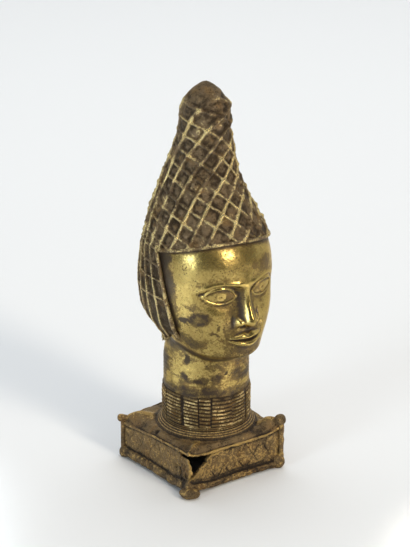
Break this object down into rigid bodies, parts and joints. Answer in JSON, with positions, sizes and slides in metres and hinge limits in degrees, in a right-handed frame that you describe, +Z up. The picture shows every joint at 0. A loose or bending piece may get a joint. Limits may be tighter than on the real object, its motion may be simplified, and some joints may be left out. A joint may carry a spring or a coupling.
{
  "type": "cast brass commemorative head",
  "caption": "Cast brass head in the Benin style: tall pointed net cap, calm face, ladder collar and a square pillow plinth with one torn corner.",
  "frame": {"origin": "at ground level under the middle of the whole part, 4.6 mm in front of the neck's axis", "axes": "+Z up along the neck to the tip of the cap, the face looks along -Y, +X towards the left hand of the person shown"},
  "size_m": [0.1113, 0.1241, 0.34],
  "materials": {
    "brass": "rubbed brass with dark brown patina in the hollows"
  },
  "bodies": {
    "root": {"bronze_head": "brass"}
  },
  "joints": []
}
